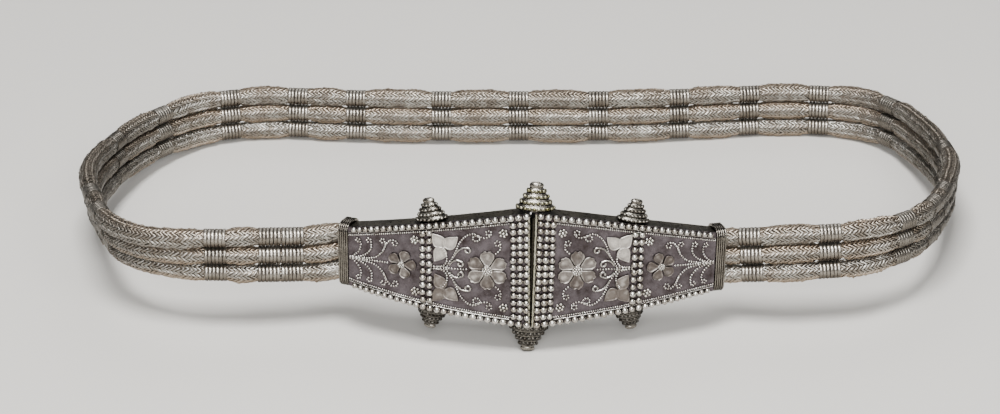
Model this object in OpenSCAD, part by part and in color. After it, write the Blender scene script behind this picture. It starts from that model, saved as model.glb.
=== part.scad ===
// Silver belt: three woven strands side by side, held together by rows of wire collars,
// and closed by a two-part box clasp with granulated faces, beehive finials and a pull-out pin.
// The loop is drawn flat first. The whole belt is then tipped so that it stands as it rests:
// on the tip of the middle lower finial and on the lower edge of the back stretch.

/* [Woven band] */
// Height of one strand in an open stretch
strand_h = 6.2; // [5.6:0.1:6.2]
// Thickness of one strand from the outer to the inner side of the loop
strand_t = 5.6; // [5.2:0.1:5.8]
// Diameter to which the collars squeeze a strand
squeeze_d = 4.9; // [4.5:0.1:5]
// Distance between strand centres in an open stretch
open_pitch = 6.3; // [6.3:0.1:6.6]
// Distance between strand centres inside a collar
collar_pitch = 6.1; // [6.1:0.05:6.2]
// Clearance between a strand and the metal round it
strand_gap = 0.1; // [0.05:0.05:0.15]

/* [Collars] */
// Diameter over the wire turns
collar_d = 6; // [5.8:0.1:6]
// Length of one collar along the strand
collar_l = 7; // [6:0.5:7]
// Turns of wire in one collar
collar_turns = 6; // [4:1:8]

/* [Clasp halves] */
// Length of a face plate from the slot to the binding
face_l = 58; // [56:0.5:60]
// Height of a face plate at the slot
slot_h = 38; // [37:0.5:39]
// Height of a face plate halfway along
middle_h = 29.6; // [29:0.2:30]
// Height of a face plate at the binding
end_h = 19.4; // [19.4:0.1:19.8]
// Thickness of a half from the face to the back
clasp_t = 6.25; // [6:0.05:6.5]
// Thickness of the sheet silver
sheet_t = 0.8; // [0.6:0.1:0.8]
// How far the left half bows round the waist along its length
left_bow = 26; // [24:0.5:27]
// How far the right half bows round the waist along its length
right_bow = 13.2; // [12.2:0.5:14.2]
// How far the right half turns back from the straight at the slot
right_turn = 5.65; // [5:0.05:6]
// How far the right half droops towards its strands
right_droop = 1.9; // [0:0.1:2]
// Lean of the clasp pin towards the right
pin_lean = 3; // [0:0.5:3]

/* [Finials] */
// Width of a middle finial at its base
mid_finial_w = 12.6; // [11:0.2:13]
// Height of a middle finial
mid_finial_h = 9; // [8:0.5:10]
// Width of a side finial at its base
side_finial_w = 10.8; // [10:0.2:11.4]
// Height of a side finial
side_finial_h = 7.2; // [6:0.2:8]

/* [Hidden] */
$fn = 48;

// Place of the clasp pin in the flat loop, seen from above
pin_x = 4.5;
pin_y = -80;
// Edges of the slot on each side of the pin
left_slot_x = pin_x - 0.6;
right_slot_x = pin_x + 0.35;

// Depths in a clasp half, measured forwards from its middle plane
half_t = clasp_t / 2;
face_front = half_t;
face_back = face_front - sheet_t;
solder_gap = 0.1;
rim_front = face_back - solder_gap;
left_turn = -0.95;

// Straight neck at the outer end of a half, round the three strands
neck_start = -5;
neck_end = 3.8;
neck_wall = 0.6;
neck_front = rim_front - 0.1;
neck_depth = squeeze_d + 2 * strand_gap + 2 * neck_wall + 0.1;
neck_h = 2 * collar_pitch + squeeze_d + 2 * strand_gap + 2 * neck_wall + 0.8;
neck_r = 2;
strand_line = neck_front - neck_depth / 2;

// Wire binding round the neck
binding_start = 0.15;
binding_l = 3.5;
binding_wires = 5;
binding_t = 1.1;
binding_fit = 0.1;

// Pin and knuckles
pin_r = 1.1;
pin_fit = 0.1;
pin_seat = 3;
pin_end_gap = 0.5;
knuckle_r = 1.95;
knuckles = 5;
knuckle_gap = 0.2;
knuckle_span = slot_h - 4;
pocket_r = 2.3;
pocket_h = slot_h + 4;
web_t = 1.8;
web_from = pin_r + 0.4;
web_to = pocket_r + 0.5;

// Finials
finial_lift = 0.15;
finial_fit = 0.1;
finial_d = clasp_t - 0.2;

// Granules and flowers on the faces, distances measured from the slot and from the mid line
granule_r = 0.85;
granule_pitch = 2.28;
border_in = 0.75;
border_from = 1.7;
slot_columns = [1.7, 3.7, 5.7];
middle_columns = [31.4, 33.5];
relief_t = 0.45;
relief_sink = 0.25;
rosette_at = [13.6, 0];
flower_at = [40.2, 0];
leaf_at = [26.8, 6.9];
leaf_l = 5.6;
leaf_w = 3.4;
leaf_turns = [50, 139, 302];
leaf_joint_r = 0.6;
cluster_at = [8.7, 12.4];
far_cluster_at = [36.8, 8.4];
scroll_wire = 0.5;
scroll_sink = 0.4;
// Arcs of the upper scrolls: centre x and y, radius, first angle, sweep
stem_arcs = [
  [33, 8.5, 10.9, 180, 50],
  [18.3, 8.5, 3.7, 0, 150],
  [13.4, 11.8, 1.4, 20, 220],
  [20, 6, 1.3, 10, 200],
  [22.6, 2.4, 1.4, 270, 240]
];
stem_middle = 19;
end_arcs = [
  [55, 3.2, 2.4, 120, 150],
  [52.6, 4, 3.2, 120, 150],
  [49.4, 4.5, 3.8, 120, 150],
  [46.4, 4.7, 4.1, 110, 160]
];
end_middle = 49;

// Route of the band's middle strand in the flat loop: x to the right, y to the back, z up
route_points = [
  [-60, -64.9, -0.8], [-67, -66.6, -0.9], [-78, -68.2, -0.5], [-92, -69.6, 0],
  [-106, -68.6, 0], [-119.5, -63, 0],
  [-129, -52, 0], [-134, -38, 0], [-138, -24, 0], [-140.5, -11, 0], [-140, 2, 0],
  [-137.5, 14, 0], [-134, 26, 0], [-129, 38, 0], [-121, 51, 0], [-108, 63.5, 0],
  [-86, 69, 0], [-60, 66.5, 0], [-30, 65, 0], [0, 65, 0], [30, 65, 0],
  [58, 67.5, 0], [86, 71.5, 0], [108, 71, 0], [123, 65.5, 0], [132.5, 54, 0],
  [138, 39, 0], [141.5, 25, 0], [143.5, 11, 0], [143.5, -2, 0], [141, -15, 0],
  [137, -29, 0], [131, -43, 0], [121.5, -55.5, 0], [106, -64, -0.2],
  [90, -66.5, -0.4], [78, -66.6, -1], [70, -65.1, -1.8]
];

// How far the band's upper edge leans out of the loop: distance along the route, degrees
band_leans = [
  [0, 0], [33, 0], [44, 9], [54, 19], [64, 26], [76, 25], [95, 19], [130, 8], [170, 0],
  [495, 0], [535, 8], [570, 11], [600, 0], [700, 0]
];

// Middle of each row of collars, measured along the route from the left half
collar_places = [
  20, 27.25, 44, 91, 107.5, 158.5, 189, 219, 243.5, 264, 294, 321,
  349, 377.5, 402.5, 427.5, 456, 504.5, 545.5, 558, 576, 602.5, 627
];

// Point in a flat clasp half, bowed round the waist up to the neck and straight beyond it
function bow_r(bow) = face_l / (bow * PI / 180);
function bowed(p, bow) =
  let (a = min(p.x / face_l, 1) * bow, r = bow_r(bow) - p.y, beyond = max(p.x - face_l, 0))
  [r * sin(a) + beyond * cos(a), bow_r(bow) - r * cos(a) + beyond * sin(a), p.z];

// Point in a bowed clasp half turned into the flat loop
function turned(p, a) = [p.x * cos(a) - p.y * sin(a), p.x * sin(a) + p.y * cos(a), p.z];
function drooped(p, a) = [p.x * cos(a) + p.z * sin(a), p.y, p.z * cos(a) - p.x * sin(a)];
function left_point(u) =
  let (p = bowed([u, -strand_line, 0], left_bow))
  turned([-p.x, p.y, p.z], -left_turn) + [pin_x, pin_y, 0];
function right_point(u) =
  turned(drooped(bowed([u, -strand_line, 0], right_bow), right_droop), right_turn)
  + [pin_x, pin_y, 0];

// The route from the inside of the left neck round to the inside of the right neck
inner_end = face_l + 0.5;
outer_end = face_l + neck_end + 1;
route = concat(
  [left_point(inner_end), left_point(outer_end)],
  route_points,
  [right_point(outer_end), right_point(inner_end)]
);
route_steps = 8;

// Smooth curve through the route's points
function bend(a, b, c, d, t) =
  0.5 * (2 * b + (c - a) * t + (2 * a - 5 * b + 4 * c - d) * t * t
  + (3 * b - a - 3 * c + d) * t * t * t);
function near(i) =
  i < 0 ? 2 * route[0] - route[1]
  : i >= len(route) ? 2 * route[len(route) - 1] - route[len(route) - 2]
  : route[i];
curve = concat(
  [for (i = [0:len(route) - 2], k = [0:route_steps - 1])
    bend(near(i - 1), near(i), near(i + 1), near(i + 2), k / route_steps)],
  [route[len(route) - 1]]
);
curve_runs = [
  for (i = 0, run = 0; i < len(curve);
    run = run + (i + 1 < len(curve) ? norm(curve[i + 1] - curve[i]) : 0), i = i + 1) run
];
strand_l = curve_runs[len(curve) - 1];
x_table = [for (i = [0:len(curve) - 1]) [curve_runs[i], curve[i].x]];
y_table = [for (i = [0:len(curve) - 1]) [curve_runs[i], curve[i].y]];
z_table = [for (i = [0:len(curve) - 1]) [curve_runs[i], curve[i].z]];
function place(s) = [lookup(s, x_table), lookup(s, y_table), lookup(s, z_table)];

// A strand's rings: place along the route, 0 where squeezed or 1 where full, and the place
// whose lean it has, which is the middle of the collar inside a collar
bay_step = 13;
neck_run = 4;
function bay(a, b) =
  let (n = max(1, round((b - a) / bay_step)))
  b - a < 2 ? [] : [for (k = [1:n]) let (s = a + (b - a) * k / (n + 1)) [s, 1, s]];
collar_count = len(collar_places);
function collar_rings(i) =
  let (s = collar_places[i])
  [[s - collar_l / 2, 0, s], [s + collar_l / 2, 0, s]];
stations = concat(
  [[0, 0, 0], [neck_run, 0, 0]],
  bay(neck_run, collar_places[0] - collar_l / 2),
  [for (i = [0:collar_count - 1]) each concat(
    collar_rings(i),
    i + 1 < collar_count
      ? bay(collar_places[i] + collar_l / 2, collar_places[i + 1] - collar_l / 2)
      : bay(collar_places[i] + collar_l / 2, strand_l - neck_run))],
  [[strand_l - neck_run, 0, strand_l], [strand_l, 0, strand_l]]
);
strand_sides = 12;
tangent_reach = 0.5;
function heading(s) =
  let (d = place(min(s + tangent_reach, strand_l)) - place(max(s - tangent_reach, 0)))
  d / norm(d);
function strand_ring(s, full, lean_place, level) =
  let (
    half_wide = (squeeze_d + full * (strand_t - squeeze_d)) / 2,
    half_high = (squeeze_d + full * (strand_h - squeeze_d)) / 2,
    lift = level * (collar_pitch + full * (open_pitch - collar_pitch)),
    ahead = heading(s),
    level_side = [-ahead.y, ahead.x, 0] / norm([ahead.x, ahead.y]),
    level_up = cross(ahead, level_side),
    lean = lookup(lean_place, band_leans),
    side = level_side * cos(lean) - level_up * sin(lean),
    up = level_up * cos(lean) + level_side * sin(lean)
  )
  [for (k = [0:strand_sides - 1])
    let (a = 360 * (k + 0.5) / strand_sides)
    place(s) + up * (lift + half_high * sin(a)) + side * half_wide * cos(a)];

// How the belt stands: raised in front on the lower finial, down on the back stretch
tip_drop = slot_h / 2 + finial_lift + mid_finial_h;
band_drop = open_pitch + strand_h / 2 * cos(180 / strand_sides);
back_y = 71.6;
tilt = atan((tip_drop - band_drop) / (back_y - pin_y));
lift = tip_drop * cos(tilt) + pin_y * sin(tilt);
// Middle of the standing belt, so that the origin lies under it
centre_x = 1.5;
centre_y = -5.2;

module standing() {
  translate([-centre_x, -centre_y, lift])
    rotate([-tilt, 0, 0])
      children();
}

module left_half() {
  translate([pin_x, pin_y, 0])
    rotate([0, 0, -left_turn])
      mirror([1, 0, 0])
        children();
}

module right_half() {
  translate([pin_x, pin_y, 0])
    rotate([0, 0, right_turn])
      rotate([0, right_droop, 0])
        children();
}

module pin_line() {
  translate([pin_x, pin_y, 0])
    rotate([0, pin_lean, 0])
      children();
}

// The part of space on the left or the right of the slot
slot_room = 80;
module left_of_slot() {
  translate([left_slot_x - slot_room, pin_y - slot_room / 2, -slot_room / 2])
    cube(slot_room);
}

module right_of_slot() {
  translate([right_slot_x, pin_y, 0])
    rotate([0, right_droop, 0])
      translate([0, -slot_room / 2, -slot_room / 2])
        cube(slot_room);
}

// Height of a half above its mid line, through its heights at the slot, middle and binding
function half_height(u) =
  let (t = u / face_l)
  slot_h / 2 * (1 - t) * (1 - 2 * t) + middle_h / 2 * 4 * t * (1 - t) + end_h / 2 * t * (2 * t - 1);

// Bowed sheet of a half between two depths measured forwards, one ring of points after another
bow_facets = 13;
bow_grid = [for (k = [-1:bow_facets - 1]) k * face_l / bow_facets];
module slab(bow, inset, from, to, front, back) {
  places = concat([from], [for (u = bow_grid) if (u > from + 0.5 && u < to - 0.5) u], [to]);
  rings = len(places);
  points = [for (u = places) let (h = half_height(u) - inset) each [
    bowed([u, -front, -h], bow), bowed([u, -back, -h], bow),
    bowed([u, -back, h], bow), bowed([u, -front, h], bow)
  ]];
  sides = [
    for (i = [0:rings - 2], k = [0:3])
      let (m = (k + 1) % 4)
      each [
        [i * 4 + k, (i + 1) * 4 + k, (i + 1) * 4 + m],
        [i * 4 + k, (i + 1) * 4 + m, i * 4 + m]
      ]
  ];
  last = 4 * (rings - 1);
  polyhedron(points, concat(sides, [[0, 1, 2, 3], [last + 3, last + 2, last + 1, last]]));
}

// Place on the middle plane of a bowed half, turned with it
module at(u, bow) {
  translate(bowed([u, 0, 0], bow))
    rotate([0, 0, bow * min(u / face_l, 1)])
      children();
}

function corner(x, y, r, from) =
  [for (k = [0:4]) let (a = from + 90 * k / 4) [x + r * cos(a), y + r * sin(a)]];
function rounded(w, h, r) = concat(
  corner(w / 2 - r, h / 2 - r, r, 0), corner(r - w / 2, h / 2 - r, r, 90),
  corner(r - w / 2, r - h / 2, r, 180), corner(w / 2 - r, r - h / 2, r, 270)
);

// Rounded bar straight on from the end of a half, in the middle of the neck, grown by some metal
module neck_bar(bow, from, to, grow) {
  at(face_l, bow)
    translate([from, -strand_line, 0])
      rotate([90, 0, 90])
        linear_extrude(to - from)
          polygon(rounded(neck_depth + 2 * grow, neck_h + 2 * grow, neck_r + grow));
}

// Sheet tray of a half with its neck and the wall of its pin pocket, before its knuckles
pocket_wall_u = 4;
module tray(bow) {
  difference() {
    union() {
      slab(bow, 0, -4, face_l, rim_front, -half_t);
      neck_bar(bow, neck_start, neck_end, 0);
    }
    slab(bow, sheet_t, pocket_wall_u, face_l + neck_start + 2, rim_front + 1, sheet_t - half_t);
    neck_bar(bow, neck_start + 1, neck_end + 1, -neck_wall);
  }
}

// Knuckle tubes round the pin, every second one, each webbed to its own half
module knuckle_set(first, side) {
  pitch = knuckle_span / knuckles;
  knuckle_l = pitch - knuckle_gap;
  for (k = [first:2:knuckles - 1])
    translate([0, 0, k * pitch + (knuckle_gap - knuckle_span) / 2]) {
      cylinder(r = knuckle_r, h = knuckle_l);
      translate([side > 0 ? web_from : -web_to, -web_t / 2, 0])
        cube([web_to - web_from, web_t, knuckle_l]);
    }
}

// A half's tray, cut back for the pin's pocket, with its knuckles and the hole for the pin
module pinned(first_knuckle, side) {
  difference() {
    union() {
      difference() {
        children();
        pin_line() cylinder(r = pocket_r, h = pocket_h, center = true);
      }
      pin_line() knuckle_set(first_knuckle, side);
    }
    pin_line() cylinder(r = pin_r + pin_fit, h = pocket_h, center = true);
  }
}

module left_case() {
  color("#8a8782")
    standing()
      pinned(0, -1)
        intersection() {
          left_half() tray(left_bow);
          left_of_slot();
        }
}

module right_case() {
  color("#8a8782")
    standing()
      pinned(1, 1)
        intersection() {
          right_half() tray(right_bow);
          right_of_slot();
        }
}

// Spot on a bowed face: x along it, y up the plate, z out of the plate
module on_face(bow, x, y) {
  at(x, bow)
    rotate([90, 0, 0])
      translate([0, y, face_front])
        children();
}

module granule(r) {
  translate([0, 0, r / 4])
    sphere(r);
}

module border_granules(bow) {
  last = floor((face_l - granule_r - border_from) / granule_pitch);
  for (k = [0:last], side = [-1, 1]) {
    u = border_from + k * granule_pitch;
    on_face(bow, u, side * (half_height(u) - border_in)) granule(granule_r);
  }
}

module column_granules(bow, u) {
  reach = half_height(u) - border_in;
  rows = floor(2 * reach / granule_pitch);
  for (k = [1:rows - 1])
    on_face(bow, u, (2 * k / rows - 1) * reach) granule(granule_r);
}

module blossom(petals, start, petal_r, ring_r, boss_r) {
  translate([0, 0, -relief_sink]) {
    linear_extrude(relief_t + relief_sink) {
      circle(ring_r);
      for (k = [0:petals - 1])
        rotate(start + 360 * k / petals)
          translate([ring_r, 0])
            circle(petal_r);
    }
    translate([0, 0, relief_t])
      sphere(boss_r);
  }
}

// Pointed leaf lying along x from its joint
module leaf(l, w) {
  arc_r = (l * l / 4 + w * w / 4) / w;
  intersection() {
    translate([l / 2, arc_r - w / 2]) circle(arc_r);
    translate([l / 2, w / 2 - arc_r]) circle(arc_r);
  }
}

module leaf_group(side) {
  translate([0, 0, -relief_sink])
    linear_extrude(relief_t + relief_sink) {
      circle(leaf_joint_r);
      for (a = leaf_turns)
        rotate(side * a)
          leaf(leaf_l, leaf_w);
    }
}

// Seven small granules, six round one
cluster_granule_r = 0.48;
cluster_ring_r = 1.1;
module cluster() {
  granule(cluster_granule_r);
  for (k = [0:5])
    rotate(60 * k)
      translate([cluster_ring_r, 0, 0])
        granule(cluster_granule_r);
}

// Wire scrolls, above and below the mid line, set on the face at the middle of their group
module scrolls(bow, arcs, middle) {
  for (arc = arcs, side = [0, 1])
    on_face(bow, middle, 0)
      mirror([0, side, 0])
        translate([arc[0] - middle, arc[1], -scroll_sink])
          rotate(arc[3])
            rotate_extrude(angle = arc[4])
              translate([arc[2] - scroll_wire / 2, 0])
                square([scroll_wire, scroll_wire + scroll_sink]);
}

module face_plate(bow) {
  slab(bow, 0, -3, face_l - 0.1, face_front, face_back);
  border_granules(bow);
  for (u = slot_columns) column_granules(bow, u);
  for (u = middle_columns) column_granules(bow, u);
  on_face(bow, rosette_at.x, rosette_at.y)
    blossom(petals = 6, start = 30, petal_r = 2.2, ring_r = 4, boss_r = 1.6);
  on_face(bow, flower_at.x, flower_at.y)
    blossom(petals = 5, start = 180, petal_r = 1.9, ring_r = 3.3, boss_r = 1.1);
  for (side = [-1, 1]) {
    on_face(bow, leaf_at.x, side * leaf_at.y) leaf_group(side);
    on_face(bow, cluster_at.x, side * cluster_at.y) cluster();
    on_face(bow, far_cluster_at.x, side * far_cluster_at.y) cluster();
  }
  scrolls(bow, stem_arcs, stem_middle);
  scrolls(bow, end_arcs, end_middle);
}

module left_face() {
  color("#6f666b")
    standing()
      intersection() {
        left_half() face_plate(left_bow);
        left_of_slot();
      }
}

module right_face() {
  color("#6f666b")
    standing()
      intersection() {
        right_half() face_plate(right_bow);
        right_of_slot();
      }
}

// Oval of the finials' beaded rings
function oval(w, d) = [for (k = [0:23]) [w / 2 * cos(15 * k), d / 2 * sin(15 * k)]];

// Beehive of beaded rings that step in towards a blunt tip: share of the width at each ring
ring_steps = [1, 0.84, 0.68, 0.52, 0.36];
ring_groove = 0.5;
ridge_from = 0.15;
ridge_share = 0.6;
module beehive(w, d, h) {
  ring_h = h / len(ring_steps);
  for (k = [0:len(ring_steps) - 1])
    translate([0, 0, k * ring_h]) {
      linear_extrude(ring_h)
        polygon(oval(w * ring_steps[k] - ring_groove, d * ring_steps[k] - ring_groove));
      translate([0, 0, ring_h * ridge_from])
        linear_extrude(ring_h * ridge_share)
          polygon(oval(w * ring_steps[k], d * ring_steps[k]));
    }
}

side_finial_u = 31.3;
slope_deg = atan((half_height(side_finial_u - 1) - half_height(side_finial_u + 1)) / 2);
module side_finial(bow, up) {
  color("#96928c")
    at(side_finial_u, bow)
      translate([0, 0, up * (half_height(side_finial_u) + finial_fit)])
        rotate([0, up > 0 ? slope_deg : 180 - slope_deg, 0])
          beehive(side_finial_w, finial_d, side_finial_h);
}

module left_top_finial() { standing() left_half() side_finial(left_bow, 1); }
module left_bottom_finial() { standing() left_half() side_finial(left_bow, -1); }
module right_top_finial() { standing() right_half() side_finial(right_bow, 1); }
module right_bottom_finial() { standing() right_half() side_finial(right_bow, -1); }

// Pull-out pin: a rod with the middle upper finial as its head
module clasp_pin() {
  color("#96928c")
    standing()
      pin_line() {
        translate([0, 0, slot_h / 2 + finial_lift])
          beehive(mid_finial_w, finial_d, mid_finial_h);
        translate([0, 0, -slot_h / 2 - pin_seat + pin_end_gap])
          cylinder(r = pin_r, h = slot_h + pin_seat - pin_end_gap + finial_lift + 1);
      }
}

// Middle lower finial, with the blind hole that the pin's end sits in
module bottom_finial() {
  color("#96928c")
    standing()
      pin_line()
        difference() {
          translate([0, 0, -slot_h / 2 - finial_lift])
            rotate([180, 0, 0])
              beehive(mid_finial_w, finial_d, mid_finial_h);
          translate([0, 0, -slot_h / 2 - pin_seat])
            cylinder(r = pin_r + pin_fit, h = pin_seat + 1);
        }
}

// Wire wound round the neck, its turns soldered together, each as wide as its share of the pitch
binding_core = 0.6;
wire_share = 0.7;
module binding(bow) {
  pitch = binding_l / binding_wires;
  groove = pitch * (1 - wire_share) / 2;
  finish = binding_start + binding_l;
  difference() {
    union() {
      neck_bar(bow, binding_start, finish, binding_fit + binding_t * binding_core);
      for (k = [0:binding_wires - 1]) {
        from = binding_start + k * pitch + groove;
        neck_bar(bow, from, from + pitch - 2 * groove, binding_fit + binding_t);
      }
    }
    neck_bar(bow, binding_start - 1, finish + 1, binding_fit);
  }
}

module left_binding() {
  color("#7d7a72")
    standing()
      left_half() binding(left_bow);
}

module right_binding() {
  color("#7d7a72")
    standing()
      right_half() binding(right_bow);
}

// Woven strand on one of three levels, one ring of points after another
module strand(level) {
  points = [for (st = stations) each strand_ring(st[0], st[1], st[2], level)];
  rings = len(stations);
  sides = strand_sides;
  walls = [
    for (i = [0:rings - 2], k = [0:sides - 1])
      let (m = (k + 1) % sides)
      each [
        [i * sides + k, (i + 1) * sides + m, i * sides + m],
        [i * sides + k, (i + 1) * sides + k, (i + 1) * sides + m]
      ]
  ];
  first_cap = [for (k = [0:sides - 1]) k];
  last_cap = [for (k = [sides - 1:-1:0]) (rings - 1) * sides + k];
  standing()
    polyhedron(points, concat(walls, [first_cap, last_cap]));
}

module strand_top() { color("#9a9692") strand(1); }
module strand_middle() { color("#a29a90") strand(0); }
module strand_bottom() { color("#a0968b") strand(-1); }

// Half section of one wire-wound ring, its turns as ridges, before its bore
turn_depth = 0.15;
turn_flat = 0.25;
ring_in = squeeze_d / 2 - 0.5;
ring_out = collar_d / 2;
// Clearance in a straight ring, which leaves some in the bends
bend_gap = strand_gap + 0.05;
function ridge_profile() = concat(
  [[ring_in, -collar_l / 2]],
  [for (k = [0:collar_turns - 1])
    let (pitch = collar_l / collar_turns, start = k * pitch - collar_l / 2)
    each [
      [ring_out - turn_depth, start], [ring_out, start + turn_flat * pitch],
      [ring_out, start + (1 - turn_flat) * pitch]
    ]],
  [[ring_out - turn_depth, collar_l / 2], [ring_in, collar_l / 2]]
);

// A row of three rings, soldered to each other, each round its own strand
web_w = 1.6;
web_h = 0.9;
module collar(index) {
  s = collar_places[index];
  from = place(s - collar_l / 2);
  to = place(s + collar_l / 2);
  ahead = to - from;
  color("#b3afa8")
    standing()
      translate((from + to) / 2)
        rotate([0, -asin(ahead.z / norm(ahead)), atan2(ahead.y, ahead.x)])
          rotate([-lookup(s, band_leans), 0, 0])
            difference() {
              union() {
                for (level = [-1:1])
                  translate([0, 0, level * collar_pitch])
                    rotate([0, 90, 0])
                      rotate_extrude()
                        polygon(ridge_profile());
                for (level = [-0.5, 0.5])
                  translate([0, 0, level * collar_pitch])
                    cube([collar_l - 0.4, web_w, web_h], center = true);
              }
              for (level = [-1:1])
                translate([0, 0, level * collar_pitch])
                  rotate([0, 90, 0])
                    cylinder(r = squeeze_d / 2 + bend_gap, h = collar_l + 1, center = true);
            }
}

strand_top();
strand_middle();
strand_bottom();
left_case();
right_case();
left_face();
right_face();
left_top_finial();
left_bottom_finial();
right_top_finial();
right_bottom_finial();
clasp_pin();
bottom_finial();
left_binding();
right_binding();
collar(0);  // collar_01
collar(1);  // collar_02
collar(2);  // collar_03
collar(3);  // collar_04
collar(4);  // collar_05
collar(5);  // collar_06
collar(6);  // collar_07
collar(7);  // collar_08
collar(8);  // collar_09
collar(9);  // collar_10
collar(10);  // collar_11
collar(11);  // collar_12
collar(12);  // collar_13
collar(13);  // collar_14
collar(14);  // collar_15
collar(15);  // collar_16
collar(16);  // collar_17
collar(17);  // collar_18
collar(18);  // collar_19
collar(19);  // collar_20
collar(20);  // collar_21
collar(21);  // collar_22
collar(22);  // collar_23
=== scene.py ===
import math
import bpy
import numpy as np
from mathutils import Matrix, Vector


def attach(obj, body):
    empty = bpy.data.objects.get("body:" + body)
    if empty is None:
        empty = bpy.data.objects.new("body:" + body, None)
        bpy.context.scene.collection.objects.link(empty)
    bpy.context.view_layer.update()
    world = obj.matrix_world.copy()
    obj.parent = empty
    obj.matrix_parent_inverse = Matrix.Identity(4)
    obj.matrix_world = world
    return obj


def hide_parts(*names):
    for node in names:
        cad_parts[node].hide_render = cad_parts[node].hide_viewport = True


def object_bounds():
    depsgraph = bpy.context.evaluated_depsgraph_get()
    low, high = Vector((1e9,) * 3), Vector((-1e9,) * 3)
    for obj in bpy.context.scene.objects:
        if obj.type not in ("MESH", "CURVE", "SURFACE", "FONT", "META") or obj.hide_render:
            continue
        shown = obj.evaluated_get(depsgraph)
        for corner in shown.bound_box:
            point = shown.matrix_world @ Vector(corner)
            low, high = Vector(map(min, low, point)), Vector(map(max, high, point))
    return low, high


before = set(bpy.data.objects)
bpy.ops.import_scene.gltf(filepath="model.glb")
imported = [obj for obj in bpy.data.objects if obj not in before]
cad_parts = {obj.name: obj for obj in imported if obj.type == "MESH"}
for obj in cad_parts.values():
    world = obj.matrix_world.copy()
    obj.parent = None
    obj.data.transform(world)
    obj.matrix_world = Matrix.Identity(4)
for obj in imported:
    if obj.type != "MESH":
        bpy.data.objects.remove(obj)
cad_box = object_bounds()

# Studio.
# The belt stands on a pale table under large soft lights and is seen from in front and above,
# through the long lens that the photograph's perspective gives.
mm = 0.001
# The belt rests on the tip of its lower finial and on the lowest strand at the back. Each lies
# this far below the plane of the loop, they are this far apart, and the pin is this far forward.
finial_tip_drop = 28.15
back_band_drop = 9.2944
stand_length = 151.6
pin_forward = 80
tilt = math.atan((finial_tip_drop - back_band_drop) / stand_length)
lift = finial_tip_drop * math.cos(tilt) - pin_forward * math.sin(tilt)
# Takes millimetres in the flat loop, as it was laid out, to metres in the standing belt
middle_offset = (-1.5, 5.2)
to_standing = (Matrix.Scale(mm, 4) @ Matrix.Translation((*middle_offset, lift))
               @ Matrix.Rotation(-tilt, 4, "X"))

camera_distance = 1126.4
camera_height = math.radians(20)
# The focal length over the picture's width, and how far the eye's aim lies off its middle
lens_reach = 3.379
picture_shift = (-0.0175, -0.0279)
camera_data = bpy.data.cameras.new("camera")
camera_data.sensor_width = 36
camera_data.lens = 36 * lens_reach
camera_data.shift_x, camera_data.shift_y = picture_shift
camera_data.clip_start = 0.02
camera = bpy.data.objects.new("camera", camera_data)
bpy.context.scene.collection.objects.link(camera)
eye = to_standing @ Vector((0, -camera_distance * math.cos(camera_height),
                            camera_distance * math.sin(camera_height)))
camera.matrix_world = (Matrix.Translation(eye)
                       @ Matrix.Rotation(math.pi / 2 - camera_height - tilt, 4, "X"))
bpy.context.scene.camera = camera


def link(name, mesh):
    """A mesh as an object of the scene, at the origin."""
    piece = bpy.data.objects.new(name, mesh)
    bpy.context.scene.collection.objects.link(piece)
    return piece


def linear(hex_colour):
    """An sRGB hex colour as linear red, green, blue and alpha."""
    shares = [int(hex_colour[k:k + 2], 16) / 255 for k in (1, 3, 5)]
    return [c / 12.92 if c <= 0.04045 else ((c + 0.055) / 1.055) ** 2.4 for c in shares] + [1]


def add(tree, kind, settings=None, inputs=None):
    """Adds a node with its settings, and its inputs: each a value or another node's output."""
    node = tree.nodes.new(kind)
    for name, value in (settings or {}).items():
        setattr(node, name, value)
    for key, value in (inputs or {}).items():
        if isinstance(value, bpy.types.NodeSocket):
            tree.links.new(value, node.inputs[key])
        else:
            node.inputs[key].default_value = value
    return node


# A wide sheet of painted board: matt and pale, so it shows only the belt's soft shadow
table_half = 3.0
table = bpy.data.meshes.new("table")
table.from_pydata([(x * table_half, y * table_half, cad_box[0][2]) for x, y in
                   ((-1, -1), (1, -1), (1, 1), (-1, 1))], [], [(0, 1, 2, 3)])
table_top = link("table_top", table)
paint = bpy.data.materials.new("matt white table paint")
paint.use_nodes = True
paint_coat = paint.node_tree.nodes["Principled BSDF"].inputs
paint_coat["Base Color"].default_value = linear("#d9d6d0")
paint_coat["Roughness"].default_value = 0.9
table.materials.append(paint)

# Each soft light: where it stands and its width, in metres, and its power
soft_boxes = [
    ((-0.1, -0.5, 1.35), 0.5, 30),
    ((0.75, -0.9, 1.1), 0.45, 4),
    ((0.0, -1.3, 0.75), 0.6, 14),
    ((0.1, 1.0, 1.0), 0.8, 4),
]
for number, (place, width, power) in enumerate(soft_boxes):
    box_data = bpy.data.lights.new("soft box %d" % number, "AREA")
    box_data.size = width
    box_data.energy = power
    soft_box = bpy.data.objects.new("soft box %d" % number, box_data)
    soft_box.matrix_world = (Matrix.Translation(place)
                             @ Vector(place).to_track_quat("Z", "Y").to_matrix().to_4x4())
    bpy.context.scene.collection.objects.link(soft_box)

# A bright ceiling above dark walls, so that round metal keeps its contrast
room = bpy.data.worlds.new("room")
room.use_nodes = True
looking = add(room.node_tree, "ShaderNodeTexCoord").outputs["Generated"]
upward = add(room.node_tree, "ShaderNodeSeparateXYZ", inputs={0: looking}).outputs[2]
ceiling = add(room.node_tree, "ShaderNodeMapRange",
              inputs={"Value": upward, "From Min": 0.15, "From Max": 0.85}).outputs[0]
room_light = add(room.node_tree, "ShaderNodeMix", {"data_type": "RGBA"},
                 {0: ceiling, 6: linear("#47464a"), 7: linear("#e4e6ea")}).outputs[2]
room.node_tree.links.new(room_light, room.node_tree.nodes["Background"].inputs["Color"])
room.node_tree.nodes["Background"].inputs["Strength"].default_value = 0.24
bpy.context.scene.world = room

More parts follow.
